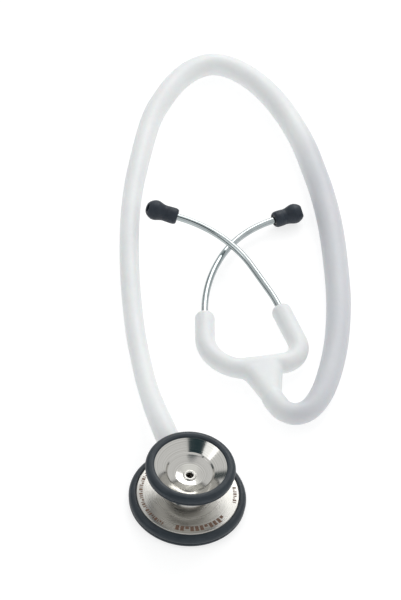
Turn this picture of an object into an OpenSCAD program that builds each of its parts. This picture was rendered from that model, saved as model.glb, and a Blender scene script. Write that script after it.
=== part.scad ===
// Dual-head stethoscope, laid flat: chestpiece with the bell side up, one
// looped hose, a wide yoke, and two crossed ear tubes with soft tips.
// Origin: centre of the diaphragm face on the resting plane, +Z out of the
// bell, +Y from the chestpiece towards the top of the loop, +X to the right.

/* [Chestpiece] */
// outer radius of the rubber ring round the diaphragm
dia_ring_r = 25; // [20:0.5:28]
// radius of the steel rim that the diaphragm ring grips
dia_rim_r = 22.6; // [18:0.1:26]
// radius of the diaphragm sheet
dia_r = 21.4; // [16:0.1:25]
// thickness of the diaphragm sheet
dia_t = 0.5; // [0.3:0.05:1]
// height of the top of the steel plate at the neck
plate_z = 6.6; // [5:0.1:9]
// radius of the polished neck
neck_r = 8.5; // [7:0.1:11]
// radius of the foot ring of the neck
neck_foot_r = 9.4; // [8:0.1:12]
// outer radius of the rubber ring round the bell
bell_ring_r = 19.1; // [15:0.1:22]
// radius of the bell opening inside the rubber lip
bell_mouth_r = 15.3; // [11:0.1:18]
// radius at the foot of the bell wall
bell_floor_r = 9.9; // [7:0.1:12]
// radius of the air port in both sides
port_r = 1.5; // [1:0.1:2.5]

/* [Stem] */
// height of the stem axis above the resting plane
stem_z = 12.3; // [11:0.1:14]
// heading of the stem, counter-clockwise from +X
stem_heading = 115; // [90:1:150]
// radius of the spindle inside the neck
stem_r = 3.2; // [2.5:0.1:4]
// running clearance of the spindle in its bore
stem_gap = 0.05; // [0.02:0.01:0.1]
// distance from the chestpiece axis to the hose end
hose_start = 21; // [19:0.5:26]
// radius of the air way through stem, yoke and arms
lumen_r = 1.4; // [1:0.1:2]

/* [Yoke and arms] */
// height of the middle of yoke and arms
yoke_z = 5; // [4.6:0.1:7]
// radius of the yoke stem
yoke_stem_r = 4.9; // [4:0.1:6]
// radius of the yoke bar
yoke_bar_r = 4.5; // [4:0.1:5.5]
// radius of the arms
arm_r = 4.4; // [3.5:0.1:5]
// gap between the arm knuckle and its cup in the yoke
knuckle_gap = 0.45; // [0.4:0.05:0.7]
// tilt of the right arm, which lifts its tube over the left one
right_tilt = 4; // [0:0.5:8]

/* [Ear tubes] */
// outer radius of the ear tubes
tube_r = 1.55; // [1.3:0.05:2]
// inner radius of the ear tubes
tube_in_r = 1.05; // [0.8:0.05:1.4]
// depth of the tube sockets in the arms
socket_depth = 9; // [6:0.5:12]
// outer radius of the sleeve that turns in the arm
bush_r = 2.2; // [2:0.05:2.8]
// running clearance of that sleeve in the arm
bush_gap = 0.05; // [0.02:0.01:0.1]
// roll of the upper tube about its socket
right_roll = 5; // [0:0.5:10]

/* [Ear tips] */
// length of a soft ear tip
tip_len = 14.6; // [12:0.1:18]
// radius of the bulb of an ear tip
tip_r = 4.45; // [3.8:0.05:5.5]
// radius of the nipple the ear tip screws on
nipple_r = 2.3; // [2:0.05:2.8]

/* [Hidden] */
$fn = 64;
left_pivot = [17.5, 73, yoke_z];
right_pivot = [37, 79, yoke_z];
yoke_foot = [32, 59, yoke_z];
bar_heading = atan2(right_pivot.y - left_pivot.y, right_pivot.x - left_pivot.x);
// left arm: start heading, bend radius, bend angle, straight end
left_heading = 180;
left_bend_r = 17;
left_bend_a = 85;
left_end = 13.5;
// right arm, the same way
right_heading = 25;
right_bend_r = 9.3;
right_bend_a = 92;
right_end = 19.6;
// lower tube (left arm): two bends to the right
low_start = 2;
low_r1 = 77;
low_a1 = 27;
low_r2 = 53;
low_a2 = 36.5;
low_tail = 4.5;
// upper tube (right arm): two bends to the left with a straight between
up_start = 2;
up_r1 = 60;
up_a1 = 8;
up_mid = 16;
up_r2 = 52;
up_a2 = 45;
up_tail = 6.2;
// hose route: x, y, lift above resting height, outer radius
hose_route = [
    [-9, 19, 7.3, 5.0], [-13, 28, 7.1, 5.1], [-17.5, 40, 5.3, 4.8],
    [-21.5, 53.5, 2, 4.5], [-25, 66.5, 0.2, 4.4], [-30.5, 89, 0, 4.4],
    [-35.5, 118.5, 0, 4.4], [-38.5, 146, 0, 4.4], [-39.5, 170, 0, 4.5],
    [-38.5, 192, 0, 4.7], [-35.5, 221, 0, 4.9], [-31, 237, 0, 5.1],
    [-25, 250.5, 0, 5.2], [-17.5, 260, 0, 5.3], [-9, 264.5, 0, 5.3],
    [0.5, 263, 0, 5.3], [10, 257, 0, 5.4], [18.5, 248.5, 0, 5.5],
    [26, 238, 0, 5.6], [33, 225.5, 0, 5.6], [38.5, 213, 0, 5.7],
    [43, 200, 0, 5.7], [47.5, 186, 0, 5.7], [51.5, 170, 0, 5.7],
    [54.5, 153.5, 0, 5.7], [57, 135, 0, 5.6], [58.5, 120, 0, 5.6],
    [59, 105, 0, 5.5], [58.5, 90, 0, 5.4], [56.5, 74.5, 0, 5.3],
    [53.5, 62.5, 0, 5.1], [49, 54, 0, 4.9], [43.5, 50.5, 0, 4.8],
    [38, 51.5, 0, 4.8], [34.5, 55, 0.1, 4.9], [32.5, 58.2, 0.1, 4.9]
];
hose_sides = 12;
hose_steps = 2;

// which node to draw

diaphragm_housing();
diaphragm();
diaphragm_ring();
chest_neck();
bell_cup();
bell_ring();
detent_ball();
detent_spring();
detent_screw();
valve_stem();
stem_o_rings();
stem_collar();
hose();
yoke();
leaf_spring();
left_arm();
right_arm();
left_bush();
right_bush();
left_ear_tube();
right_ear_tube();
left_nipple();
right_nipple();
left_ear_tip();
right_ear_tip();

// ---------- helpers ----------

// a rod along +X from the origin
module rod(len, r) {
    rotate([0, 90, 0])
        cylinder(h = len, r = r);
}

// a quarter-style bend starting at the origin along +X; side 1 turns left
module bend(big, angle, r, side = 1) {
    mirror(side < 0 ? [0, 1, 0] : [0, 0, 1])
        translate([0, big, 0])
            rotate([0, 0, -90])
                rotate_extrude(angle = angle)
                    translate([big, 0])
                        circle(r = r);
}

// moves the children to the end of such a bend
module after_bend(big, angle, side = 1) {
    translate([0, side * big, 0])
        rotate([0, 0, side * angle])
            translate([0, -side * big, 0])
                children();
}

module after_rod(len) {
    translate([len, 0, 0])
        children();
}

// a level rod between two points
module strut(a, b, r1, r2) {
    translate(a)
        rotate([0, 90, atan2(b.y - a.y, b.x - a.x)])
            cylinder(h = norm(b - a), r1 = r1, r2 = r2);
}

// a joint ball just proud of the rods and bends that meet in it
module ball(r) {
    rotate([0, 90, 0])
        sphere(r = r + 0.12);
}

// the stem frame: +X runs from the chestpiece axis out along the stem
module on_stem() {
    translate([0, 0, stem_z])
        rotate([0, 0, stem_heading])
            children();
}

module at_left_arm() {
    translate(left_pivot)
        rotate([0, 0, left_heading])
            children();
}

module at_left_end() {
    at_left_arm()
        after_bend(left_bend_r, left_bend_a, -1)
            after_rod(left_end)
                children();
}

module at_right_arm() {
    translate(right_pivot)
        rotate([right_tilt, 0, right_heading])
            children();
}

module at_right_knee() {
    at_right_arm()
        after_bend(right_bend_r, right_bend_a)
            children();
}

module at_right_end() {
    at_right_knee()
        after_rod(right_end)
            rotate([right_roll, 0, 0])
                children();
}

module at_left_tip() {
    at_left_end()
        after_rod(low_start)
            after_bend(low_r1, low_a1, -1)
                after_bend(low_r2, low_a2, -1)
                    children();
}

module at_right_tip() {
    at_right_end()
        after_rod(up_start)
            after_bend(up_r1, up_a1)
                after_rod(up_mid)
                    after_bend(up_r2, up_a2)
                        children();
}

// ---------- chestpiece ----------

module diaphragm_housing() {
    color("silver")
        rotate_extrude()
            polygon([
                [port_r, 2.6], [20.2, 1.5], [20.6, dia_t], [dia_rim_r, dia_t],
                [dia_rim_r, 4.6], [22, 4.6], [22, 5.1], [21.5, 5.5],
                [neck_foot_r, plate_z], [port_r, plate_z]
            ]);
}

module diaphragm() {
    color("ivory")
        cylinder(h = dia_t, r = dia_r);
}

module diaphragm_ring() {
    w = dia_ring_r;
    color("darkslategray")
        rotate_extrude()
            polygon([
                [dia_r, 0], [w - 1.4, 0], [w - 0.6, 0.4], [w - 0.2, 1.1],
                [w - 0.3, 1.8], [w - 0.5, 2.1], [w - 0.1, 2.5], [w, 3.2],
                [w - 0.2, 4.1], [w - 0.7, 4.9], [w - 1.4, 5.4], [w - 2.2, 5.6],
                [w - 2.8, 5.45], [22, 5.1], [22, 4.6], [dia_rim_r, 4.6],
                [dia_rim_r, dia_t], [dia_r, dia_t]
            ]);
}

module chest_neck() {
    color("silver")
        difference() {
            rotate_extrude()
                polygon([
                    [port_r, plate_z], [neck_foot_r - 0.3, plate_z],
                    [neck_foot_r, 7], [neck_foot_r, 7.7],
                    [neck_r + 0.3, 8.2], [neck_r, 8.7], [neck_r, 16],
                    [port_r, 16]
                ]);
            on_stem()
                translate([-5.2, 0, 0])
                    rod(20, stem_r + stem_gap);
            on_stem()
                translate([2, 0, 0])
                    rotate([90, 0, 0])
                        cylinder(h = 12, r = 0.95);
        }
}

module bell_cup() {
    color("silver")
        rotate_extrude()
            polygon([
                [port_r, 16], [neck_r, 16], [9.2, 16.9], [16.2, 20.7],
                [16.4, 20.9], [16.4, 23.7], [bell_mouth_r, 23.7],
                [bell_floor_r, 20.2], [2.8, 17.3], [2.7, 17.6],
                [2.5, 17.7], [port_r + 0.2, 17.7], [port_r, 17.5]
            ]);
}

module bell_ring() {
    w = bell_ring_r;
    color("darkslategray")
        rotate_extrude()
            polygon([
                [bell_mouth_r, 23.7], [bell_mouth_r, 24.1],
                [bell_mouth_r + 0.4, 24.5], [16.6, 24.7], [w - 1.5, 24.6],
                [w - 0.7, 24.1], [w - 0.2, 23.4], [w, 22.6], [w - 0.2, 21.9],
                [w - 0.5, 21.5], [w - 0.3, 21.1], [w - 0.4, 20.5],
                [w - 0.9, 20], [w - 1.7, 19.8], [16.6, 20.1], [16.2, 20.7],
                [16.4, 20.9], [16.4, 23.7]
            ]);
}

module detent_ball() {
    color("gray")
        on_stem()
            translate([2, -3.65, 0])
                sphere(r = 0.9, $fn = 24);
}

module detent_spring() {
    turns = 5;
    coil = [for (k = [0:12 * turns])
        [0.65 * cos(30 * k), 0.65 * sin(30 * k), 0.15 + 2.4 * k / (12 * turns)]];
    color("gray")
        on_stem()
            translate([2, -4.6, 0])
                rotate([90, 0, 0])
                    sweep(coil, [for (q = coil) 0.14], 6);
}

module detent_screw() {
    color("gray")
        on_stem()
            translate([2, -7.3, 0])
                rotate([90, 0, 0])
                    difference() {
                        cylinder(h = 0.9, r = 0.95);
                        translate([-0.15, -1, 0.5])
                            cube([0.3, 2, 1]);
                    }
}

// ---------- stem ----------

module valve_stem() {
    color("lightgray")
        difference() {
            union() {
                on_stem()
                    translate([-5.1, 0, 0])
                        rod(14.9, stem_r);
                on_stem()
                    translate([9.8, 0, 0])
                        rod(hose_start - 9.8, 3.4);
                on_stem()
                    translate([hose_start, 0, 0])
                        rod(12, 2.4);
                for (s = [3, 7])
                    on_stem()
                        translate([hose_start + s, 0, 0])
                            rotate([0, 90, 0])
                                cylinder(h = 2.5, r1 = 3, r2 = 2.3);
            }
            on_stem()
                translate([-2, 0, 0])
                    rod(60, lumen_r);
            on_stem()
                cylinder(h = 8, r = lumen_r);
            on_stem()
                translate([2, 0, 0])
                    rotate([0, 90, 0])
                        rotate_extrude()
                            translate([3.65, 0])
                                circle(r = 0.95, $fn = 32);
            for (s = [-3.4, 6])
                on_stem()
                    translate([s - 0.5, 0, 0])
                        rotate([0, 90, 0])
                            difference() {
                                cylinder(h = 1, r = 4);
                                translate([0, 0, -1])
                                    cylinder(h = 3, r = 2.27);
                            }
        }
}

module stem_o_rings() {
    color("black")
        for (s = [-3.4, 6])
            on_stem()
                translate([s, 0, 0])
                    rotate([0, 90, 0])
                        rotate_extrude()
                            translate([2.72, 0])
                                circle(r = 0.45, $fn = 24);
}

module stem_collar() {
    color("silver")
        on_stem()
            translate([9.8, 0, 0])
                rotate([0, 90, 0])
                    difference() {
                        rotate_extrude()
                            polygon([
                                [3.4, 0], [3.8, 0], [4.1, 0.3], [4.1, 1.7],
                                [3.8, 2], [3.4, 2]
                            ]);
                        for (i = [0:11])
                            rotate([0, 0, i * 30])
                                translate([4.25, 0, -1])
                                    cylinder(h = 4, r = 0.3, $fn = 16);
                    }
}

// ---------- hose ----------

// route point i as [x, y, z, r]
function stop(i) =
    let (n = len(hose_route) - 1, q = hose_route[max(0, min(n, i))])
    [q[0], q[1], q[2] + q[3], q[3]];

// smooth curve through the route: i the span, t from 0 to 1
function glide(i, t) =
    let (a = stop(i - 1), b = stop(i), c = stop(i + 1), d = stop(i + 2))
    0.5 * (2 * b + t * (c - a) + t * t * (2 * a - 5 * b + 4 * c - d)
        + t * t * t * (3 * b - a - 3 * c + d));

function unit(v) = v / norm(v);

// a round rope through the spots, with its own radius at each
module sweep(spot, rad, sides) {
    rows = len(spot) - 1;
    run = [for (k = [0:rows]) unit(spot[min(rows, k + 1)] - spot[max(0, k - 1)])];
    side = [for (v = run) unit(cross(v, [0, 0, 1]))];
    top = [for (k = [0:rows]) cross(side[k], run[k])];
    skin = [for (k = [0:rows]) for (j = [0:sides - 1])
        let (a = 360 * j / sides)
        spot[k] + rad[k] * (cos(a) * side[k] + sin(a) * top[k])];
    walls = [for (k = [0:rows - 1]) for (j = [0:sides - 1])
        let (m = (j + 1) % sides, a = k * sides, b = a + sides)
        [a + j, b + j, b + m, a + m]];
    first = [for (j = [0:sides - 1]) j];
    last = [for (j = [0:sides - 1]) rows * sides + sides - 1 - j];
    polyhedron(skin, concat(walls, [first], [last]), convexity = 10);
}

// the same, hollow: radius r outside and q inside
module pipe(spot, r, q, sides) {
    rows = len(spot) - 1;
    w = 2 * sides;
    run = [for (k = [0:rows]) unit(spot[min(rows, k + 1)] - spot[max(0, k - 1)])];
    side = [for (v = run) unit(cross(v, [0, 0, 1]))];
    top = [for (k = [0:rows]) cross(side[k], run[k])];
    skin = [for (k = [0:rows]) for (f = [r, q]) for (j = [0:sides - 1])
        let (a = 360 * j / sides)
        spot[k] + f * (cos(a) * side[k] + sin(a) * top[k])];
    outer = [for (k = [0:rows - 1]) for (j = [0:sides - 1])
        let (m = (j + 1) % sides, a = k * w, b = a + w)
        [a + j, b + j, b + m, a + m]];
    inner = [for (k = [0:rows - 1]) for (j = [0:sides - 1])
        let (m = (j + 1) % sides, a = k * w + sides, b = a + w)
        [a + j, a + m, b + m, b + j]];
    first = [for (j = [0:sides - 1]) let (m = (j + 1) % sides)
        [j, m, sides + m, sides + j]];
    last = [for (j = [0:sides - 1]) let (m = (j + 1) % sides, a = rows * w)
        [a + j, a + sides + j, a + sides + m, a + m]];
    polyhedron(skin, concat(outer, inner, first, last), convexity = 10);
}

module hose() {
    spans = len(hose_route) - 1;
    rows = spans * hose_steps;
    mid = [for (k = [0:rows])
        k == rows ? stop(spans)
            : glide(floor(k / hose_steps), (k % hose_steps) / hose_steps)];
    color("whitesmoke")
        sweep([for (q = mid) [q[0], q[1], q[2]]], [for (q = mid) q[3]], hose_sides);
}

// ---------- yoke and arms ----------

module yoke() {
    left_branch = [24, 69.5, yoke_z];
    right_branch = [31.6, 76.5, yoke_z];
    color("whitesmoke")
        difference() {
            union() {
                translate(yoke_foot)
                    sphere(r = yoke_stem_r);
                strut(yoke_foot, left_branch, yoke_stem_r, yoke_stem_r);
                strut(yoke_foot, right_branch, yoke_stem_r, yoke_bar_r);
                strut(left_pivot, right_pivot, yoke_bar_r, yoke_bar_r);
            }
            for (p = [left_pivot, right_pivot])
                translate(p)
                    sphere(r = arm_r + knuckle_gap);
            strut(yoke_foot, left_branch, lumen_r, lumen_r);
            strut(yoke_foot, right_branch, lumen_r, lumen_r);
            strut(left_pivot, right_pivot, lumen_r, lumen_r);
            strip(0);
        }
}

module strip(slack) {
    translate((left_pivot + right_pivot) / 2)
        rotate([0, 0, bar_heading])
            translate([-4.5 - slack, -1.5 - slack, 2.4 - slack])
                cube([9 + 2 * slack, 3 + 2 * slack, 0.6 + 2 * slack]);
}

module leaf_spring() {
    color("gray")
        strip(0);
}

module left_arm() {
    color("whitesmoke")
        difference() {
            union() {
                at_left_arm()
                    ball(arm_r);
                at_left_arm()
                    bend(left_bend_r, left_bend_a, arm_r, -1);
                at_left_arm()
                    after_bend(left_bend_r, left_bend_a, -1)
                        ball(arm_r);
                at_left_arm()
                    after_bend(left_bend_r, left_bend_a, -1)
                        arm_end(left_end);
            }
            at_left_arm()
                after_bend(left_bend_r, left_bend_a, -1)
                    arm_bore(left_end);
        }
}

module right_arm() {
    color("whitesmoke")
        difference() {
            union() {
                at_right_arm()
                    ball(arm_r);
                at_right_arm()
                    bend(right_bend_r, right_bend_a, arm_r);
                at_right_knee()
                    ball(arm_r);
                at_right_knee()
                    arm_end(right_end);
            }
            at_right_knee()
                arm_bore(right_end);
        }
}

// straight end of an arm with a rounded shoulder
module arm_end(len) {
    rotate([0, 90, 0])
        rotate_extrude()
            polygon([
                [0, 0], [arm_r, 0], [arm_r - 0.2, len - 3], [arm_r - 0.5, len - 1.6],
                [arm_r - 1.1, len - 0.6], [arm_r - 1.9, len], [0, len]
            ]);
}

module arm_bore(len) {
    after_rod(len - socket_depth - 1)
        rod(socket_depth + 2, tube_r + 0.15);
    after_rod(len - socket_depth)
        rod(socket_depth - 1, bush_r + bush_gap);
}

// sleeve pressed on the tube, turning in the arm's bore
module bush() {
    color("goldenrod")
        after_rod(-socket_depth + 0.1)
            rotate([0, 90, 0])
                difference() {
                    cylinder(h = socket_depth - 1.2, r = bush_r);
                    translate([0, 0, -1])
                        cylinder(h = socket_depth + 1, r = tube_r);
                }
}

module left_bush() {
    at_left_end()
        bush();
}

module right_bush() {
    at_right_end()
        bush();
}

// ---------- ear tubes and tips ----------

// a point of a level bend that starts at p with heading h
function turn(p, h, big, angle, side) =
    let (g = h + side * angle)
    p + side * big * [sin(g) - sin(h), cos(h) - cos(g), 0];

function ahead(p, h, len) = p + len * [cos(h), sin(h), 0];

function low_spots() =
    let (a = [low_start, 0, 0], h = -low_a1,
        b = turn(a, 0, low_r1, low_a1, -1),
        c = turn(b, h, low_r2, low_a2, -1))
    concat(
        [[1 - socket_depth, 0, 0], [-3, 0, 0], a],
        [for (k = [1:9]) turn(a, 0, low_r1, low_a1 * k / 9, -1)],
        [for (k = [1:12]) turn(b, h, low_r2, low_a2 * k / 12, -1)],
        [ahead(c, h - low_a2, low_tail)]);

function up_spots() =
    let (a = [up_start, 0, 0], h = up_a1,
        b = turn(a, 0, up_r1, up_a1, 1),
        c = ahead(b, h, up_mid),
        d = turn(c, h, up_r2, up_a2, 1))
    concat(
        [[1 - socket_depth, 0, 0], [-3, 0, 0], a],
        [for (k = [1:3]) turn(a, 0, up_r1, up_a1 * k / 3, 1)],
        [ahead(b, h, up_mid / 2), c],
        [for (k = [1:14]) turn(c, h, up_r2, up_a2 * k / 14, 1)],
        [ahead(d, h + up_a2, up_tail)]);

module left_ear_tube() {
    color("lightsteelblue")
        at_left_end()
            pipe(low_spots(), tube_r, tube_in_r, 16);
}

module right_ear_tube() {
    color("lightsteelblue")
        at_right_end()
            pipe(up_spots(), tube_r, tube_in_r, 16);
}

// threaded sleeve pressed on the tube end, the start of the tip at 0
module nipple(tail) {
    color("dimgray")
        after_rod(tail - 3.5)
            rotate([0, 90, 0])
                difference() {
                    rotate_extrude()
                        polygon([
                            [0, 0], [nipple_r - 0.2, 0], [nipple_r, 0.2],
                            [nipple_r, 5.6], [nipple_r - 0.4, 6], [0, 6]
                        ]);
                    translate([0, 0, -1])
                        cylinder(h = 4.5, r = tube_r);
                    cylinder(h = 8, r = tube_in_r);
                }
}

module left_nipple() {
    at_left_tip()
        nipple(low_tail);
}

module right_nipple() {
    at_right_tip()
        nipple(up_tail);
}

// soft tip: collar, waist and bulb along +X, open through
module tip(tail) {
    color("darkslategray")
        after_rod(tail - 3.8)
            rotate([0, 90, 0])
                rotate_extrude()
                    polygon([
                        [nipple_r + 0.05, 0], [2.9, 0], [3.3, 0.3], [3.5, 1],
                        [3.5, 2.6], [3.4, 4.2], [3.25, 5.6], [3.3, 6.8],
                        [3.6, 7.8], [4.05, 8.7], [tip_r - 0.1, 9.6],
                        [tip_r, 10.4], [tip_r - 0.1, 11.4], [4, 12.6],
                        [3.3, 13.6], [2.4, 14.3], [1.7, tip_len],
                        [1.3, tip_len - 0.2], [1.3, 6.6],
                        [nipple_r + 0.05, 6.5]
                    ]);
}

module left_ear_tip() {
    at_left_tip()
        tip(low_tail);
}

module right_ear_tip() {
    at_right_tip()
        tip(up_tail);
}
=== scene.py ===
"""Visual model of a dual-head stethoscope.

White hose and yoke, turned steel chestpiece, chrome ear tubes and dark soft tips.
"""

import bpy
import bmesh
import functools
import math
from mathutils import Matrix, Vector


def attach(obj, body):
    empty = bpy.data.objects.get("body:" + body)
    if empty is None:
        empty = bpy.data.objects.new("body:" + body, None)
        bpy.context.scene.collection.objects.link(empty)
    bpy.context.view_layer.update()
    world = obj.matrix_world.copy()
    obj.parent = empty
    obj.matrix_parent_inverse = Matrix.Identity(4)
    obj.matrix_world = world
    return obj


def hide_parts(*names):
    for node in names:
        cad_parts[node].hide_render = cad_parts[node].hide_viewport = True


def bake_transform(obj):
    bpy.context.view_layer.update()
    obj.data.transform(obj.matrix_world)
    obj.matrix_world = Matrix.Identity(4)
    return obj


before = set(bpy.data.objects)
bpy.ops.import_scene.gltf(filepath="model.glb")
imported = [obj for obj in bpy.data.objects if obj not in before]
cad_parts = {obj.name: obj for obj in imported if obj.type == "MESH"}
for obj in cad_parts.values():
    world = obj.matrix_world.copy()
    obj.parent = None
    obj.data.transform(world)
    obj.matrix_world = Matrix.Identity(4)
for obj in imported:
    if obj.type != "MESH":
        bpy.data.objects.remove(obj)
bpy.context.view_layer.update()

MM = 0.001
X, Z = Vector((1, 0, 0)), Vector((0, 0, 1))

# ---------- camera, in millimetres and degrees ----------

CAMERA_PLACE = Vector((-3.2, -793.8, 999.4))
CAMERA_ELEVATION = 47.7
CAMERA_ROLL = 6
CAMERA_LENS = 180
CAMERA_SENSOR = 36
CAMERA_CLIP = (0.05, 60)  # in metres

# ---------- sizes, in millimetres and degrees ----------

LATHE_SIDES = 160
SMALLEST_R = 0.02  # of the last ring of a rounded end

PLATE_EDGE_R = 21.6
PLATE_EDGE_Z = 5.5
PLATE_SLOPE = 1.1 / 12.2
MARK_SUNK = 0.03
MARK_PROUD = 0.012
SHORT_MARK = 0.55
BOX_FACES = [(1, 3, 7, 5), (0, 4, 6, 2), (0, 1, 5, 4), (2, 6, 7, 3), (0, 2, 3, 1), (4, 5, 7, 6)]
PLATE_MARKS = [  # first angle, last angle, middle radius, bar height, bar widths, gap
    (152, 243, 19.9, 1.5, (0.45, 0.9, 0.6, 0.45, 1.1), 0.45),
    (259, 326, 19.3, 2.4, (1.5, 1.5, 1.5), 0.6),
    (-8, 17, 20.0, 1.5, (0.5, 0.9, 0.6), 0.45),
]

YOKE_Z = 5
YOKE_FOOT = Vector((32, 59, YOKE_Z))
YOKE_STEM = Vector((33.4, 56.6, YOKE_Z))
YOKE_PALM = [Vector((23, 71, YOKE_Z)), Vector((31.4, 77, YOKE_Z))]
YOKE_CORE = [Vector((20, 72.5, YOKE_Z)), Vector((26, 68.5, YOKE_Z)), Vector((30, 76, YOKE_Z))]
LEFT_PIVOT = Vector((17.5, 73, YOKE_Z))
RIGHT_PIVOT = Vector((37, 79, YOKE_Z))
KNUCKLE_REACH = 0.02  # share of the way to the other pivot
BAR_R = 4.65
CORE_R = BAR_R - 0.2
STEM_R = 5.0
MOULDING_SIDES = 32
MOULDING_VOXEL = 0.45
MOULDING_SMOOTHING = 30
MOULDING_CREASE = 50
BALL_SIDES = 16
BALL_ROWS = 8
SPOT_DIGITS = 7  # decimals of a metre that tell one vertex from another
CUT_REACH = 1e-7  # in metres
CAP_ALIGNMENT = 0.999
CAP_CORNERS = 6
HEADSET_SIDES = (  # name, side of the cut, arm's body, start and end of the bend, CAD nodes
    ("headset_left", -1, "left_arm_body",
     Vector((21.5, 74, YOKE_Z)), Vector((11.5, 73.5, YOKE_Z)), ("yoke", "left_arm")),
    ("headset_right", 1, "right_arm_body",
     Vector((33, 77, YOKE_Z)), Vector((42.5, 81.5, YOKE_Z)), ("right_arm",)),
)

ARM_R = 4.4
ARM_PAD = 0.15
ARM_RIM = 2.2
ARM_LIP = 0.6
LEFT_HEADING = 180
LEFT_BEND = ("bend", 17, 85, -1)
LEFT_END = 13.5  # straight length after the bend
RIGHT_HEADING = 25
RIGHT_TILT = 4
RIGHT_BEND = ("bend", 9.3, 92, 1)
RIGHT_END = 19.6

TUBE_R = 1.55
TUBE_RIM = 0.3
TUBE_SIDES = 40
TUBE_STEP = 1.5
IN_SOCKET = 6
LEFT_TUBE = [("on", 2), ("bend", 77, 27, -1), ("bend", 53, 36.5, -1)]
LEFT_TAIL = 4.5
RIGHT_TUBE_TILT = 5
RIGHT_TUBE = [("on", 2), ("bend", 60, 8, 1), ("on", 16), ("bend", 52, 45, 1)]
RIGHT_TAIL = 6.2

TIP_SIDES = 72
TIP_OVERLAP = 3.8
TIP_HOLE_R = 1.8
TIP_LEAN = 22
TIP_LEANS_TOWARDS = Vector((0, -0.673, 0.74))
BULB_START = 3.0
BULB_CENTRE = 10.3
BULB_FULL_LEAN = BULB_CENTRE - 1.5

HOSE_SIDES = 40
HOSE_STEPS = 8
HOSE_MOUTH = [(-0.02, 1.3), (0, 0.7), (0.2, 0.25), (0.6, 0)]  # how far along, how much thinner

# x, y, lift above resting height, outer radius
HOSE_ROUTE = [
    [-9, 19, 7.3, 5.0], [-13, 28, 7.1, 5.1], [-17.5, 40, 5.3, 4.8],
    [-21.5, 53.5, 2, 4.5], [-25, 66.5, 0.2, 4.4], [-30.5, 89, 0, 4.4],
    [-35.5, 118.5, 0, 4.4], [-38.5, 146, 0, 4.4], [-39.5, 170, 0, 4.5],
    [-38.5, 192, 0, 4.7], [-35.5, 221, 0, 4.9], [-31, 237, 0, 5.1],
    [-25, 250.5, 0, 5.2], [-17.5, 260, 0, 5.3], [-9, 264.5, 0, 5.3],
    [0.5, 263, 0, 5.3], [10, 257, 0, 5.4], [18.5, 248.5, 0, 5.5],
    [26, 238, 0, 5.6], [33, 225.5, 0, 5.6], [38.5, 213, 0, 5.7],
    [43, 200, 0, 5.7], [47.5, 186, 0, 5.7], [51.5, 170, 0, 5.7],
    [54.5, 153.5, 0, 5.7], [57, 135, 0, 5.6], [58.5, 120, 0, 5.6],
    [59, 105, 0, 5.5], [58.5, 90, 0, 5.4], [56.5, 74.5, 0, 5.3],
    [53.5, 62.5, 0, 5.1], [49, 54, 0, 4.9], [43.5, 50.5, 0, 4.8],
    [38, 51.5, 0, 4.8], [34.5, 55, 0.1, 4.9], [32.5, 58.2, 0.1, 4.9],
]


# ---------- camera ----------

def add_camera():
    elevation, roll = math.radians(CAMERA_ELEVATION), math.radians(CAMERA_ROLL)
    forward = Vector((0, math.cos(elevation), -math.sin(elevation)))
    level_up = Vector((0, math.sin(elevation), math.cos(elevation)))
    right = X * math.cos(roll) + level_up * math.sin(roll)
    up = level_up * math.cos(roll) - X * math.sin(roll)
    data = bpy.data.cameras.new("camera")
    data.sensor_fit = "VERTICAL"
    data.sensor_height = CAMERA_SENSOR
    data.lens = CAMERA_LENS
    data.clip_start, data.clip_end = CAMERA_CLIP
    camera = bpy.data.objects.new("camera", data)
    bpy.context.collection.objects.link(camera)
    place = Matrix((right, up, -forward)).transposed().to_4x4()
    place.translation = CAMERA_PLACE * MM
    camera.matrix_world = place
    bpy.context.scene.camera = camera


# ---------- mesh helpers ----------

def mesh_object(name, verts, faces, crease=35):
    """A mesh object from vertices in millimetres, smooth but for edges over crease degrees."""
    mesh = bpy.data.meshes.new(name)
    mesh.from_pydata([tuple(v * MM) for v in verts], [], faces)
    tidy = bmesh.new()
    tidy.from_mesh(mesh)
    bmesh.ops.recalc_face_normals(tidy, faces=tidy.faces)
    tidy.to_mesh(mesh)
    tidy.free()
    mesh.shade_smooth()
    mesh.set_sharp_from_angle(angle=math.radians(crease))
    obj = bpy.data.objects.new(name, mesh)
    bpy.context.collection.objects.link(obj)
    return obj


def rounded(corners, steps=5):
    """Points of a closed outline whose corners (r, z, fillet) are rounded."""
    points = []
    for k, (r, z, fillet) in enumerate(corners):
        here = Vector((r, z))
        before = Vector(corners[k - 1][:2]) - here
        after = Vector(corners[(k + 1) % len(corners)][:2]) - here
        angle = before.angle(after)
        if fillet <= 0 or angle > math.radians(176):
            points.append((r, z))
            continue
        cut = min(fillet / math.tan(angle / 2), 0.48 * before.length, 0.48 * after.length)
        start = here + before.normalized() * cut
        end = here + after.normalized() * cut
        for i in range(steps + 1):
            t = i / steps
            p = start * (1 - t) ** 2 + here * (2 * t * (1 - t)) + end * t ** 2
            points.append((p.x, p.y))
    return points


def lathe(name, outline, place=Matrix.Identity(4), sides=LATHE_SIDES, crease=35):
    """A turned piece: the closed outline (r, z) goes round the Z axis of place."""
    verts, faces, n = [], [], len(outline)
    for k in range(sides):
        a = math.tau * k / sides
        verts += [place @ Vector((r * math.cos(a), r * math.sin(a), z)) for r, z in outline]
    for k in range(sides):
        here, there = k * n, (k + 1) % sides * n
        faces += [(here + i, there + i, there + (i + 1) % n, here + (i + 1) % n) for i in range(n)]
    return mesh_object(name, verts, faces, crease)


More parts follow.
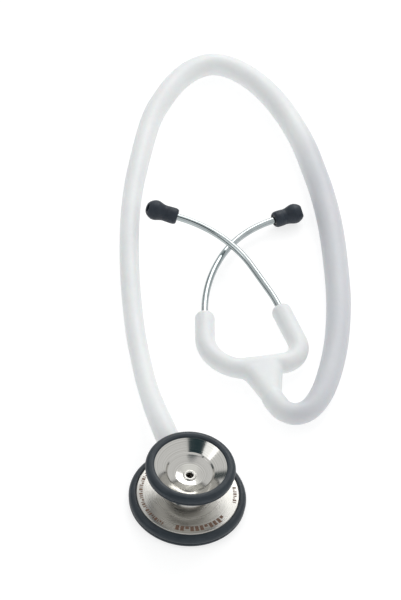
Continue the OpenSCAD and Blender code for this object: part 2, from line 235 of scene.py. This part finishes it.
def tube(stations, sides):
    """Vertices and faces of a closed tube through stations (centre, side axis, up axis, radius)."""
    verts, faces = [], []
    for centre, side, up, radius in stations:
        for i in range(sides):
            a = math.tau * i / sides
            verts.append(centre + side * (radius * math.cos(a)) + up * (radius * math.sin(a)))
    for k in range(len(stations) - 1):
        for i in range(sides):
            j = (i + 1) % sides
            faces.append((k * sides + i, k * sides + j, (k + 1) * sides + j, (k + 1) * sides + i))
    faces.append(tuple(range(sides)))
    faces.append(tuple((len(stations) - 1) * sides + i for i in range(sides)))
    return verts, faces


class Frame:
    """A point with its own axes: +X runs on along the part, +Y is its left."""

    def __init__(self, point, axes=None):
        self.point = Vector(point)
        self.axes = axes or Matrix.Identity(3)

    def turned(self, axis, degrees):
        return Frame(self.point, self.axes @ Matrix.Rotation(math.radians(degrees), 3, axis))

    def ahead(self, length):
        return Frame(self.point + self.axes.col[0] * length, self.axes)

    def bent(self, radius, degrees, side=1):
        centre = self.point + self.axes.col[1] * (side * radius)
        after = self.turned("Z", side * degrees)
        return Frame(centre - after.axes.col[1] * (side * radius), after.axes)

    def placed(self):
        """The matrix that takes +Z to this frame's way on."""
        turn = self.axes @ Matrix(((0, 0, 1), (0, 1, 0), (-1, 0, 0)))
        return Matrix.Translation(self.point) @ turn.to_4x4()


def trace(start, moves, step=1.0):
    """The frames along a run of moves: ("on", length) or ("bend", radius, degrees, side)."""
    frames, here = [start], start
    for kind, size, *turn in moves:
        length = size * math.radians(turn[0]) if turn else size
        count = max(2, math.ceil(length / step))
        for k in range(1, count + 1):
            t = k / count
            if kind == "on":
                frames.append(here.ahead(size * t))
            else:
                frames.append(here.bent(size, turn[0] * t, turn[1]))
        here = frames[-1]
    return frames


def along(frames, radius):
    """Tube stations of one radius at frames."""
    return [(f.point, f.axes.col[1].copy(), f.axes.col[2].copy(), radius) for f in frames]


def domed(stations, rim, steps=6):
    """Closes the last station with a rounded rim of that size."""
    centre, side, up, radius = stations[-1]
    way = side.cross(up)
    more = []
    for k in range(1, steps + 1):
        a = math.pi / 2 * k / steps
        inner = radius - rim + rim * math.cos(a)
        more.append((centre + way * (rim * math.sin(a)), side, up, max(inner, SMALLEST_R)))
    return stations + more


def glide(rows, steps):
    """Points on a Catmull-Rom curve through rows, with steps points to each span."""
    padded = [rows[0] * 2 - rows[1]] + rows + [rows[-1] * 2 - rows[-2]]
    result = []
    for a, b, c, d in zip(padded, padded[1:], padded[2:], padded[3:]):
        square, cube = a * 2 - b * 5 + c * 4 - d, b * 3 - a - c * 3 + d
        for k in range(steps):
            t = k / steps
            result.append((b * 2 + (c - a) * t + square * t ** 2 + cube * t ** 3) / 2)
    return result + [rows[-1]]


def carried(points):
    """Stations of a free curve of (x, y, z, radius) points, with axes that don't twist."""
    centres = [Vector(p[:3]) for p in points]
    side, stations = None, []
    for k, centre in enumerate(centres):
        ahead, behind = centres[min(k + 1, len(centres) - 1)], centres[max(k - 1, 0)]
        way = (ahead - behind).normalized()
        side = Z.cross(way) if side is None else side - way * side.dot(way)
        side.normalize()
        stations.append((centre, side.copy(), way.cross(side), points[k][3]))
    return stations


# ---------- materials ----------

PAINTED_SHADE_FROM, PAINTED_SHADE_TO = 0.030, 0.047  # metres across the object, hose only; the painted shade on the hose's right-hand run fades in between them
WEAVE_SCALE = 420.0


def add_node(tree, kind, inputs=(), **settings):
    """A shader node with its inputs given as values or as sockets to link."""
    made = tree.nodes.new("ShaderNode" + kind)
    for key, value in settings.items():
        setattr(made, key, value)
    for key, value in dict(inputs).items():
        if isinstance(value, bpy.types.NodeSocket):
            tree.links.new(value, made.inputs[key])
        else:
            made.inputs[key].default_value = value
    return made


class Look:
    """A Principled material with short ways to add nodes."""

    def __init__(self, name, colour, roughness, metallic=0.0, **values):
        self.material = bpy.data.materials.new(name)
        self.material.use_nodes = True
        self.tree = self.material.node_tree
        self.shader = self.tree.nodes["Principled BSDF"]
        self.shader.inputs["Base Color"].default_value = (*colour, 1)
        self.shader.inputs["Roughness"].default_value = roughness
        self.shader.inputs["Metallic"].default_value = metallic
        for key, value in values.items():
            self.shader.inputs[key.replace("_", " ")].default_value = value
        self.coordinates = self.tree.nodes.new("ShaderNodeTexCoord").outputs["Object"]

    def link(self, a, b):
        self.tree.links.new(a, b)

    def node(self, kind, inputs=(), **settings):
        return add_node(self.tree, kind, inputs, **settings)

    def noise(self, scale, detail=3.0, distortion=0.0):
        return self.node("TexNoise", {
            "Vector": self.coordinates, "Scale": scale, "Detail": detail,
            "Roughness": 0.55, "Distortion": distortion,
        }).outputs["Fac"]

    def radius(self):
        """Distance from the Z axis, in metres."""
        flat = self.node("VectorMath", {0: self.coordinates, 1: (1, 1, 0)}, operation="MULTIPLY")
        return self.node("VectorMath", {0: flat.outputs[0]}, operation="LENGTH").outputs["Value"]

    def rings(self, per_metre, detail=4.0):
        """Uneven concentric marks round the Z axis."""
        return self.node("TexNoise", {"W": self.radius(), "Scale": per_metre, "Detail": detail},
                         noise_dimensions="1D").outputs["Fac"]

    def math(self, operation, a, b):
        return self.node("Math", {0: a, 1: b}, operation=operation).outputs[0]

    def blended(self, a, b, share):
        """share of a and the rest of b."""
        rest = round(1 - share, 6)
        return self.math("ADD", self.math("MULTIPLY", a, share), self.math("MULTIPLY", b, rest))

    def ramp(self, factor, low, high, start=0.3, end=0.7):
        """A colour that runs from low, where factor is start, to high, where it is end."""
        ramp = self.node("ValToRGB", {"Fac": factor})
        first, last = ramp.color_ramp.elements
        first.position, last.position = start, end
        first.color, last.color = (*low, 1), (*high, 1)
        return ramp.outputs["Color"]

    def shades(self, factor, low, high, start=0.3, end=0.7):
        self.link(self.ramp(factor, low, high, start, end), self.shader.inputs["Base Color"])

    def gloss(self, factor, low, high, start=0.3, end=0.7):
        """Roughness from low to high."""
        ranged = self.node("MapRange", {"Value": factor, "From Min": start, "From Max": end,
                                        "To Min": low, "To Max": high})
        self.link(ranged.outputs["Result"], self.shader.inputs["Roughness"])

    def relief(self, height, depth, strength):
        """Bumps of a depth in metres."""
        bump = self.node("Bump", {"Height": height, "Strength": strength, "Distance": depth})
        self.link(bump.outputs["Normal"], self.shader.inputs["Normal"])

    def brushed_round(self, amount):
        tangent = self.node("Tangent", direction_type="RADIAL", axis="Z")
        self.shader.inputs["Anisotropic"].default_value = amount
        self.link(tangent.outputs["Tangent"], self.shader.inputs["Tangent"])


def soft_pvc(name, painted_shade_right=False):
    """Matt white PVC. The hose's right-hand run has painted shade: its colour is a little greyer
    there than the rest.
    """
    look = Look(name, (0.80, 0.80, 0.795), 0.45,
                Subsurface_Weight=0.12, Subsurface_Scale=0.002, IOR=1.45)
    mottle = look.blended(look.noise(38, 4), look.noise(420, 2), 0.75)
    colour = look.ramp(mottle, (0.765, 0.78, 0.785), (0.82, 0.835, 0.835), 0.35, 0.65)
    if painted_shade_right:
        # painted shade: a greyer colour that fades in across the hose's right-hand run
        painted_shade_grey = look.ramp(mottle, (0.595, 0.61, 0.64), (0.635, 0.645, 0.67), 0.35, 0.65)
        across = look.node("SeparateXYZ", {0: look.coordinates}).outputs["X"]
        share = look.node("MapRange",
                          {"Value": across, "From Min": PAINTED_SHADE_FROM, "From Max": PAINTED_SHADE_TO},
                          interpolation_type="SMOOTHSTEP").outputs["Result"]
        colour = look.node("Mix", {"Factor": share, "A": colour, "B": painted_shade_grey},
                           data_type="RGBA").outputs["Result"]
    look.link(colour, look.shader.inputs["Base Color"])
    look.gloss(look.noise(150, 5), 0.4, 0.52)
    look.relief(look.noise(1500, 3), 0.00006, 0.5)
    return look.material


def turned_steel(name, dark, light, low, high, anisotropy):
    """Steel with concentric marks, from dark to light and from low to high roughness."""
    look = Look(name, light, low, 1.0)
    rings = look.rings(2400)
    look.shades(rings, dark, light)
    look.gloss(look.blended(rings, look.noise(120), 0.6), low, high, 0.35, 0.65)
    look.brushed_round(anisotropy)
    look.relief(look.rings(3200, 2.0), 0.000004, 0.3)
    return look.material


def polished_steel():
    look = Look("polished_steel", (0.52, 0.505, 0.48), 0.14, 1.0)
    look.shades(look.noise(160, 4), (0.46, 0.445, 0.42), (0.56, 0.545, 0.52))
    look.gloss(look.noise(700, 5), 0.09, 0.2)
    look.relief(look.noise(2500, 2), 0.000006, 0.3)
    return look.material


def chrome():
    look = Look("chrome_tube", (0.46, 0.49, 0.485), 0.1, 1.0)
    smudge = look.noise(110, 5, distortion=0.6)
    look.shades(smudge, (0.38, 0.42, 0.425), (0.49, 0.53, 0.535))
    look.gloss(smudge, 0.07, 0.17)
    look.relief(look.noise(1800, 2), 0.000006, 0.3)
    return look.material


def rubber(name, dark, light, low, high, grain, depth):
    """Rubber or plastic with grains per metre and a depth of relief in metres."""
    look = Look(name, light, high, IOR=1.4)
    look.shades(look.noise(240, 5), dark, light)
    look.gloss(look.noise(grain * 0.4, 4), low, high)
    look.relief(look.noise(grain, 3), depth, 0.5)
    return look.material


def membrane():
    """A sheet of woven fibres under a clear coat."""
    look = Look("fibre_membrane", (0.55, 0.56, 0.55), 0.3, Coat_Weight=0.5, Coat_Roughness=0.12)
    warp, weft = (
        look.node("TexWave", {"Vector": look.coordinates, "Scale": WEAVE_SCALE, "Distortion": 0.6},
                  bands_direction=way).outputs["Fac"]
        for way in ("X", "Y")
    )
    weave = look.math("MAXIMUM", warp, weft)
    look.shades(weave, (0.44, 0.455, 0.45), (0.6, 0.61, 0.6), 0.2, 0.9)
    look.relief(weave, 0.00003, 0.4)
    return look.material


def machined(name, dark, light, low, high):
    """Plain metal, from dark to light and from low to high roughness."""
    look = Look(name, light, high, 1.0)
    look.shades(look.noise(900, 4), dark, light)
    look.gloss(look.noise(1500, 3), low, high)
    look.relief(look.noise(3000, 2), 0.00001, 0.3)
    return look.material


def etched_brown():
    look = Look("etched_brown", (0.16, 0.09, 0.06), 0.7)
    look.shades(look.noise(1400, 3), (0.13, 0.07, 0.045), (0.22, 0.14, 0.10))
    look.relief(look.noise(4000, 2), 0.00001, 0.4)
    return look.material


def add_materials():
    return {
        "pvc": soft_pvc("soft_pvc"),
        # the hose's material has painted shade on its right-hand run
        "hose": soft_pvc("hose_pvc", painted_shade_right=True),
        "steel": turned_steel("turned_steel", (0.45, 0.44, 0.415), (0.52, 0.51, 0.485),
                              0.25, 0.33, 0.88),
        "bell": turned_steel("bell_steel", (0.52, 0.51, 0.48), (0.62, 0.61, 0.58),
                             0.10, 0.17, 0.35),
        "polished": polished_steel(),
        "chrome": chrome(),
        "ring": rubber("ring_rubber", (0.013, 0.021, 0.029), (0.023, 0.033, 0.043),
                       0.36, 0.5, 2600, 0.00003),
        "tip": rubber("tip_rubber", (0.012, 0.018, 0.028), (0.021, 0.030, 0.043),
                      0.42, 0.56, 2200, 0.00004),
        "plastic": rubber("black_plastic", (0.012, 0.012, 0.014), (0.022, 0.022, 0.025),
                          0.3, 0.4, 3000, 0.00001),
        "seal": rubber("seal_rubber", (0.010, 0.010, 0.011), (0.020, 0.020, 0.021),
                       0.3, 0.45, 3000, 0.00001),
        "brass": machined("bush_brass", (0.50, 0.36, 0.15), (0.68, 0.50, 0.22), 0.22, 0.36),
        "spring": machined("spring_steel", (0.36, 0.36, 0.38), (0.50, 0.50, 0.52), 0.22, 0.36),
        "membrane": membrane(),
        "etched": etched_brown(),
    }


# ---------- chestpiece ----------

def ring_piece(name, corners, material, slot, *nodes, crease=50):
    """A turned piece of the chestpiece, from corners (r, z, fillet)."""
    obj = lathe(name, rounded(corners), crease=crease)
    obj.data.materials.append(material)
    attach(obj, "chestpiece")
    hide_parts(*nodes)


def add_chestpiece(looks):
    ring_piece("diaphragm_plate", [
        (1.5, 2.6, 0), (20.2, 1.5, 0.2), (20.6, 0.5, 0.1), (22.6, 0.5, 0.1), (22.6, 4.6, 0),
        (22, 4.6, 0), (22, 5.12, 0.08), (21.6, 5.5, 0.12), (9.4, 6.6, 0), (1.5, 6.6, 0),
    ], looks["steel"], "steel", "diaphragm_housing", crease=25)
    ring_piece("diaphragm_rim", [
        (21.4, 0, 0.1), (23.6, 0, 0.5), (24.4, 0.4, 0.5), (24.85, 1.1, 0.5), (24.75, 1.9, 0.15),
        (24.2, 2.15, 0.1), (24.85, 2.45, 0.2), (25, 3.2, 0.8), (24.8, 4.1, 0.8), (24.3, 4.9, 0.8),
        (23.6, 5.4, 0.6), (22.8, 5.6, 0.5), (22.2, 5.45, 0.15), (22, 5.1, 0.05), (22, 4.6, 0),
        (22.6, 4.6, 0), (22.6, 0.5, 0), (21.4, 0.5, 0),
    ], looks["ring"], "ring_rubber", "diaphragm_ring")
    ring_piece("bell_shell", [
        (1.5, 16, 0), (8.5, 16, 0), (9.2, 16.9, 0.6), (16.2, 20.7, 0), (16.4, 20.9, 0),
        (16.4, 23.7, 0), (15.3, 23.7, 0.15), (10.3, 20.3, 0.25), (9.6, 19.55, 0.3), (6, 18, 4),
        (2.8, 17.25, 0.3), (2.75, 17.6, 0.15), (2.5, 17.75, 0.1), (1.8, 17.75, 0.1),
        (1.5, 17.5, 0.05),
    ], looks["bell"], "steel", "bell_cup", crease=25)
    ring_piece("bell_rim", [
        (15.3, 23.7, 0), (15.3, 24.15, 0.15), (15.7, 24.55, 0.3), (16.6, 24.7, 0.5),
        (17.6, 24.6, 0.8), (18.4, 24.1, 0.8), (18.9, 23.4, 0.6), (19.1, 22.6, 0.6),
        (18.95, 21.8, 0.15), (18.35, 21.5, 0.1), (18.85, 21.2, 0.2), (18.7, 20.5, 0.4),
        (18.2, 20, 0.5), (17.4, 19.8, 0.4), (16.6, 20.1, 0.1), (16.2, 20.7, 0), (16.4, 20.9, 0),
        (16.4, 23.7, 0),
    ], looks["ring"], "ring_rubber", "bell_ring")


def add_plate_marks(looks):
    """Rows of plain etched bars round the plate, where the real one has its print."""
    verts, faces = [], []
    for first, last, radius, tall, widths, gap in PLATE_MARKS:
        angle, k = first, 0
        while angle < last:
            wide = math.degrees(widths[k % len(widths)] / radius)
            share = SHORT_MARK if k % 4 == 2 else 1.0
            base = len(verts)
            for a in (angle, angle + wide):
                for r in (radius - tall / 2, radius - tall / 2 + tall * share):
                    x, y = r * math.cos(math.radians(a)), r * math.sin(math.radians(a))
                    z = PLATE_EDGE_Z + (PLATE_EDGE_R - r) * PLATE_SLOPE
                    verts += [Vector((x, y, z - MARK_SUNK)), Vector((x, y, z + MARK_PROUD))]
            faces += [tuple(base + i for i in face) for face in BOX_FACES]
            angle += wide + math.degrees(gap / radius)
            k += 1
    obj = mesh_object("plate_marks", verts, faces)
    obj.data.materials.append(looks["etched"])
    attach(obj, "chestpiece")


# ---------- hose ----------

def add_hose(looks):
    smooth = glide([Vector((x, y, lift + r, r)) for x, y, lift, r in HOSE_ROUTE], HOSE_STEPS)
    stations = carried(smooth)
    centre, side, up, radius = stations[0]
    way = side.cross(up)
    mouth = [(centre + way * on, side, up, radius - less) for on, less in HOSE_MOUTH]
    verts, faces = tube(mouth + stations[1:], HOSE_SIDES)
    obj = mesh_object("hose_sweep", verts, faces, crease=60)
    obj.data.materials.append(looks["hose"])
    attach(obj, "tubing")
    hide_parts("hose")


# ---------- yoke and arms ----------

def remeshed(obj, voxel, smoothing):
    """obj as one closed skin, softened."""
    remesh = obj.modifiers.new("skin", "REMESH")
    remesh.mode = "VOXEL"
    remesh.voxel_size = voxel * MM
    soften = obj.modifiers.new("soften", "SMOOTH")
    soften.factor = 0.5
    soften.iterations = smoothing
    bpy.context.view_layer.update()
    evaluated = obj.evaluated_get(bpy.context.evaluated_depsgraph_get())
    skin = bpy.data.meshes.new_from_object(evaluated)
    bpy.data.objects.remove(obj)
    return skin


def left_arm_frames(short=0.0):
    start = Frame(LEFT_PIVOT).turned("Z", LEFT_HEADING)
    return trace(start, [LEFT_BEND, ("on", LEFT_END - short)])


def right_arm_frames(short=0.0):
    start = Frame(RIGHT_PIVOT).turned("Z", RIGHT_HEADING).turned("X", RIGHT_TILT)
    return trace(start, [RIGHT_BEND, ("on", RIGHT_END - short)])


def between(a, b):
    """The frames along the straight line from a to b."""
    way = (b - a).normalized()
    side = Z.cross(way).normalized()
    axes = Matrix((way, side, way.cross(side))).transposed()
    return trace(Frame(a, axes), [("on", (b - a).length)])


def web(points, radius):
    """A rounded slab spanned by balls at points."""
    cloud = bmesh.new()
    for p in points:
        for i in range(BALL_SIDES):
            for j in range(BALL_ROWS + 1):
                a, b = math.tau * i / BALL_SIDES, math.pi * (j / BALL_ROWS - 0.5)
                out = Vector((math.cos(a) * math.cos(b), math.sin(a) * math.cos(b), math.sin(b)))
                cloud.verts.new(p + out * radius)
    bmesh.ops.remove_doubles(cloud, verts=cloud.verts, dist=0.01)
    inside = bmesh.ops.convex_hull(cloud, input=cloud.verts)["geom_interior"]
    bmesh.ops.delete(cloud, geom=[v for v in inside if isinstance(v, bmesh.types.BMVert)],
                     context="VERTS")
    cloud.verts.ensure_lookup_table()
    cloud.verts.index_update()
    verts = [v.co.copy() for v in cloud.verts]
    faces = [tuple(v.index for v in f.verts) for f in cloud.faces]
    cloud.free()
    return verts, faces


def arm_tube(frames):
    return tube(domed(along(frames, ARM_R + ARM_PAD), ARM_RIM), MOULDING_SIDES)


def moulding_skin():
    """The whole moulding, from overlapping parts."""
    apart = (RIGHT_PIVOT - LEFT_PIVOT) * KNUCKLE_REACH
    parts = [
        arm_tube(left_arm_frames(ARM_RIM - ARM_LIP)),
        arm_tube(right_arm_frames(ARM_RIM - ARM_LIP)),
        tube(along(between(LEFT_PIVOT, RIGHT_PIVOT), BAR_R), MOULDING_SIDES),
        web([LEFT_PIVOT, LEFT_PIVOT + apart], BAR_R),
        web([RIGHT_PIVOT, RIGHT_PIVOT - apart], BAR_R),
        web([YOKE_FOOT] + YOKE_PALM, BAR_R),
        web(YOKE_CORE, CORE_R),
        tube(along(between(YOKE_STEM, YOKE_FOOT), STEM_R), MOULDING_SIDES),
    ]
    verts, faces = [], []
    for part_verts, part_faces in parts:
        faces += [tuple(i + len(verts) for i in f) for f in part_faces]
        verts += part_verts
    return remeshed(mesh_object("moulding", verts, faces), MOULDING_VOXEL, MOULDING_SMOOTHING)


def spot(point):
    """A key by which a vertex is found again in another mesh."""
    return tuple(round(c, SPOT_DIGITS) for c in point)


def add_headset(looks):
    """Yoke and both arms as one moulding, cut down the middle.
    """
    skin = moulding_skin()
    normals = {spot(v.co): v.normal.copy() for v in skin.vertices}
    middle = (LEFT_PIVOT + RIGHT_PIVOT) / 2
    across = (middle - YOKE_FOOT).normalized().cross(Z)
    for name, way, body, start, end, nodes in HEADSET_SIDES:
        half = bmesh.new()
        half.from_mesh(skin)
        bmesh.ops.bisect_plane(half, geom=half.verts[:] + half.edges[:] + half.faces[:],
                               dist=CUT_REACH, plane_co=middle * MM, plane_no=across * way,
                               clear_inner=True)
        cut = [e for e in half.edges if e.is_boundary]
        rim = {spot(v.co) for e in cut for v in e.verts}
        bmesh.ops.holes_fill(half, edges=cut)
        mesh = bpy.data.meshes.new(name)
        half.to_mesh(mesh)
        half.free()
        mesh.shade_smooth()
        mesh.set_sharp_from_angle(angle=math.radians(MOULDING_CREASE))
        set_cut_normals(mesh, normals, rim, across)
        obj = bpy.data.objects.new(name, mesh)
        bpy.context.collection.objects.link(obj)
        mesh.materials.append(looks["pvc"])
        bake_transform(obj)
        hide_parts(*nodes)


def set_cut_normals(mesh, normals, rim, across):
    """Gives both sides of the cut the same outward normals, so that the seam doesn't show."""
    given = []
    for face in mesh.polygons:
        aligned = abs(face.normal.dot(across)) > CAP_ALIGNMENT
        is_cap = aligned and len(face.vertices) > CAP_CORNERS
        for index in face.vertices:
            at = mesh.vertices[index]
            if is_cap:
                given.append(face.normal.copy())
            elif spot(at.co) in rim:
                given.append((at.normal - across * at.normal.dot(across)).normalized())
            else:
                given.append(normals.get(spot(at.co), at.normal).copy())
    mesh.normals_split_custom_set([tuple(n) for n in given])


# ---------- ear tubes and tips ----------

def tip_outline():
    outer = [
        (2.35, 0, 0.25), (3.1, 0.05, 0.6), (3.65, 0.9, 0.8), (3.75, 2.2, 1), (3.7, 4.2, 1),
        (3.6, 5.6, 1), (3.7, 6.8, 1), (3.95, 7.8, 1), (4.25, 8.7, 1.5), (4.5, 9.6, 1.5),
        (4.6, 10.4, 2), (4.5, 11.5, 2), (3.95, 12.7, 2), (3.35, 13.6, 1.5), (2.6, 14.3, 0.8),
        (2.1, 14.5, 0.3),
    ]
    inner = [(TIP_HOLE_R, 14.1, 0.3), (TIP_HOLE_R, 9, 0), (1.4, 7.5, 0), (2.35, 7.2, 0)]
    return rounded(outer + inner, 4)


def lean_bulb(mesh, base):
    """Leans the soft bulb about its own centre, so that its mouth looks up and forward."""
    way = base.axes.col[0]
    hinge = way.cross(TIP_LEANS_TOWARDS).normalized()
    centre = base.ahead(BULB_CENTRE).point * MM
    for vertex in mesh.vertices:
        height = (vertex.co / MM - base.point).dot(way)
        t = min(max((height - BULB_START) / (BULB_FULL_LEAN - BULB_START), 0), 1)
        turn = Matrix.Rotation(math.radians(TIP_LEAN) * t * t * (3 - 2 * t), 3, hinge)
        vertex.co = centre + turn @ (vertex.co - centre)


def add_ear_side(looks, side, start, moves, tail, tube_body, tip_body, nodes):
    """A chrome tube from start in the arm's socket along moves and tail, and its soft tip."""
    begin = start.ahead(-IN_SOCKET)
    frames = trace(begin, [("on", IN_SOCKET)] + moves + [("on", tail)], TUBE_STEP)
    verts, faces = tube(domed(along(frames, TUBE_R), TUBE_RIM, steps=3), TUBE_SIDES)
    obj = mesh_object(side + "_chrome_tube", verts, faces)
    obj.data.materials.append(looks["chrome"])
    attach(obj, tube_body)
    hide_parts(nodes[0])
    base = trace(start, moves)[-1].ahead(tail - TIP_OVERLAP)
    tip = lathe(side + "_soft_tip", tip_outline(), base.placed(), TIP_SIDES, crease=60)
    lean_bulb(tip.data, base)
    tip.data.materials.append(looks["tip"])
    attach(tip, tip_body)
    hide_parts(nodes[1])


def add_ear_tubes(looks):
    add_ear_side(looks, "left", left_arm_frames()[-1], LEFT_TUBE, LEFT_TAIL,
                 "left_tube_body", "left_tip_body", ("left_ear_tube", "left_ear_tip"))
    add_ear_side(looks, "right", right_arm_frames()[-1].turned("X", RIGHT_TUBE_TILT),
                 RIGHT_TUBE, RIGHT_TAIL,
                 "right_tube_body", "right_tip_body", ("right_ear_tube", "right_ear_tip"))


# ---------- CAD parts that stay ----------

def finish_cad_parts(looks):
    finishes = {
        "diaphragm": "membrane", "chest_neck": "polished", "detent_ball": "spring",
        "detent_spring": "spring", "detent_screw": "polished", "valve_stem": "polished",
        "stem_o_rings": "seal", "stem_collar": "polished", "leaf_spring": "spring",
        "left_bush": "brass", "right_bush": "brass", "left_nipple": "plastic",
        "right_nipple": "plastic",
    }
    for node, look in finishes.items():
        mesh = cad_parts[node].data
        mesh.materials.clear()
        mesh.materials.append(looks[look])


# ---------- floor and light, in metres and watts ----------

FLOOR_HALF = 8
FLOOR_DROP = 0.0002
FLOOR_GREY = (0.36, 0.36, 0.36)
FLOOR_GLOW = 0.72
LIGHTS_AIM = (0, 0.12, 0)
SOFTBOXES = (  # name, place, size, power
    ("back_light", (0.25, 1.6, 1.25), (1.2, 0.8), 11),
    ("left_fill", (-1.2, -0.4, 1.6), (0.9, 0.7), 3),
)
SEEN_WHITE = (0.95, 0.95, 0.95, 1)  # what the camera sees past the floor
STUDIO_WHITE = (0.84, 0.845, 0.85, 1)
STUDIO_PANELS = (  # colour, and its edges as (axis, where it starts, where it is full)
    # a bright strip behind
    ((1.05, 1.06, 1.05, 1), (("X", -0.34, -0.18), ("X", 0.34, 0.18), ("Y", 0.0, 0.2))),
    # a dark side on the left
    ((0.07, 0.09, 0.095, 1), (("X", -0.5, -0.62), ("Z", 0.36, 0.28))),
    # dark at the horizon and below it
    ((0.10, 0.12, 0.12, 1), (("Z", 0.07, 0.03),)),
    # a dark bar overhead
    ((0.02, 0.045, 0.055, 1), (("X", -0.70, -0.64), ("X", 0.20, 0.14), ("Y", -0.62, -0.56),
                               ("Y", -0.10, -0.18), ("Z", 0.4, 0.5))),
)


def add_floor():
    mesh = bpy.data.meshes.new("floor")
    corners = [(x * FLOOR_HALF, y * FLOOR_HALF, 0) for x, y in ((-1, -1), (1, -1), (1, 1), (-1, 1))]
    mesh.from_pydata(corners, [], [(0, 1, 2, 3)])
    floor = bpy.data.objects.new("floor", mesh)
    bpy.context.collection.objects.link(floor)
    floor.location.z = -FLOOR_DROP
    look = Look("pale_floor", FLOOR_GREY, 0.9,
                Emission_Color=(1, 1, 1, 1), Emission_Strength=FLOOR_GLOW)
    mesh.materials.append(look.material)


def add_softbox(name, place, size, power):
    data = bpy.data.lights.new(name, "AREA")
    data.shape = "RECTANGLE"
    data.size, data.size_y = size
    data.energy = power
    light = bpy.data.objects.new(name, data)
    bpy.context.collection.objects.link(light)
    light.location = place
    way = Vector(LIGHTS_AIM) - Vector(place)
    light.rotation_euler = way.to_track_quat("-Z", "Y").to_euler()


def add_world():
    """An even pale studio with the panels that the bright metal mirrors."""
    world = bpy.data.worlds.new("studio")
    bpy.context.scene.world = world
    world.use_nodes = True
    tree = world.node_tree
    sky = add_node(tree, "TexCoord").outputs["Generated"]
    way = add_node(tree, "SeparateXYZ", {0: sky}).outputs

    def rise(axis, start, end):
        return add_node(tree, "MapRange", {"Value": way[axis], "From Min": start, "From Max": end},
                        interpolation_type="SMOOTHSTEP").outputs["Result"]

    def product(a, b):
        return add_node(tree, "Math", {0: a, 1: b}, operation="MULTIPLY").outputs[0]

    def mixed(share, under, over):
        return add_node(tree, "Mix", {"Factor": share, "A": under, "B": over},
                        data_type="RGBA").outputs["Result"]

    colour = STUDIO_WHITE
    for panel, edges in STUDIO_PANELS:
        colour = mixed(functools.reduce(product, [rise(*edge) for edge in edges]), colour, panel)
    seen = add_node(tree, "LightPath").outputs["Is Camera Ray"]
    colour = mixed(seen, colour, SEEN_WHITE)
    tree.links.new(colour, tree.nodes["Background"].inputs["Color"])


def add_light():
    add_world()
    for softbox in SOFTBOXES:
        add_softbox(*softbox)
    bpy.context.scene.view_settings.view_transform = "Standard"


add_camera()
looks = add_materials()
add_hose(looks)
add_chestpiece(looks)
add_plate_marks(looks)
add_headset(looks)
add_ear_tubes(looks)
finish_cad_parts(looks)
add_floor()
add_light()
